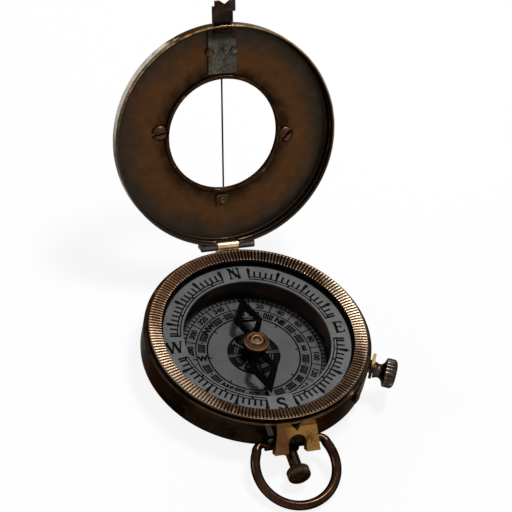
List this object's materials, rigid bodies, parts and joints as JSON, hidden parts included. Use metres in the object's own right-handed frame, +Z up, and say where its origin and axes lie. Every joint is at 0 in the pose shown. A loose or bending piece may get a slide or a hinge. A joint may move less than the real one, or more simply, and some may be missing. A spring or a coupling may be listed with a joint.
{
  "type": "magnetic compass",
  "caption": "Pocket sighting compass with a hinged window lid and hairline, turning ribbed bezel, pivoted needle with lifter, sight block, bezel clamp and thumb ring.",
  "frame": {"origin": "centre of the flat underside of the back cover", "axes": "+Z up along the needle's pivot, -Y towards the sight block and thumb ring, +Y towards the lid hinge, +X towards the bezel clamp"},
  "size_m": [0.067, 0.1178, 0.0743],
  "materials": {
    "case_bronze": "dark brown patina, satin",
    "lid_bronze": "brown patina with a golden middle band",
    "rib_brass": "worn brown brass, ribbed",
    "bright_brass": "worn yellow brass",
    "copper_brown": "polished copper brown",
    "worn_steel": "dull pitted steel",
    "dark_steel": "blackened steel",
    "silvered_ring": "matt silvered brass with black marks",
    "dial_enamel": "matt pale grey with black marks",
    "blued_steel": "blackened steel",
    "agate": "polished grey stone",
    "clear_glass": "clear, polished"
  },
  "bodies": {
    "case": {"case_body": "case_bronze", "back_cover": "case_bronze", "back_screw_1": "worn_steel", "back_screw_2": "worn_steel", "back_screw_3": "worn_steel", "well_liner": "case_bronze", "dial_plate": "dial_enamel", "pivot_post": "bright_brass", "pivot_pin": "worn_steel", "front_bracket": "dark_steel", "bracket_screw": "worn_steel", "sight_block": "bright_brass", "stop_lug": "case_bronze", "hinge_case_leaf": "bright_brass", "hinge_pin": "worn_steel", "return_spring": "worn_steel"},
    "bezel": {"bezel_ring": "rib_brass", "crystal_glass": "clear_glass", "chapter_ring": "silvered_ring", "retaining_ring": "bright_brass"},
    "lifter": {"lifter_sleeve": "bright_brass"},
    "needle": {"needle_blade": "blued_steel", "hub_cap": "bright_brass", "pivot_jewel": "agate"},
    "stud": {"stud_plunger": "worn_steel", "stud_cap": "copper_brown", "lifter_slide": "worn_steel"},
    "thumb_loop": {"thumb_ring": "copper_brown"},
    "clamp_screw_knob": {"clamp_knob": "copper_brown", "clamp_screw": "worn_steel"},
    "clamp_pad": {"clamp_shoe": "bright_brass"},
    "lid": {"lid_shell": "lid_bronze", "window_ring": "copper_brown", "hairline": "blued_steel", "catch_plate": "worn_steel", "catch_rivet_left": "bright_brass", "catch_rivet_right": "worn_steel", "catch_hook": "copper_brown", "lid_screw_left": "copper_brown", "lid_screw_right": "copper_brown", "anchor_plate": "worn_steel", "anchor_rivet": "copper_brown", "hinge_lid_leaf": "worn_steel", "leaf_rivet_left": "worn_steel", "leaf_rivet_right": "worn_steel"}
  },
  "joints": [
    {"name": "lid_hinge", "type": "hinge", "parent": "case", "child": "lid", "pos_m": [0, 0.03145, 0.0134], "axis": [1, 0, 0], "range_deg": [0, 120]},
    {"name": "bezel_turn", "type": "hinge", "parent": "case", "child": "bezel", "pos_m": [0, 0, 0.011], "axis": [0, 0, 1], "continuous": true},
    {"name": "stud_push", "type": "slide", "parent": "case", "child": "stud", "axis": [0, 1, 0], "range_m": [0, 0.0014], "stiffness_N_per_m": 300, "deforming": ["return_spring"]},
    {"name": "lifter_rise", "type": "slide", "parent": "case", "child": "lifter", "axis": [0, 0, 1], "range_m": [0, 0.00042]},
    {"name": "needle_swing", "type": "hinge", "parent": "lifter", "child": "needle", "pos_m": [0, 0, 0.0078], "axis": [0, 0, 1], "continuous": true},
    {"name": "ring_swing", "type": "hinge", "parent": "case", "child": "thumb_loop", "pos_m": [0, -0.0326, 0.0068], "axis": [-1, 0, 0], "range_deg": [-72, 98]},
    {"name": "clamp_turn", "type": "hinge", "parent": "case", "child": "clamp_screw_knob", "pos_m": [0.03119, -0.01589, 0.009], "axis": [-0.891, 0.454, 0], "range_deg": [0, 270]},
    {"name": "clamp_press", "type": "slide", "parent": "case", "child": "clamp_pad", "axis": [-0.891, 0.454, 0], "range_m": [0, 0.00025]}
  ],
  "couplings": [
    {"joint": "lifter_rise", "follows": "stud_push", "ratio": 0.3},
    {"joint": "clamp_turn", "follows": "clamp_press", "rad_per_m": 18850}
  ]
}
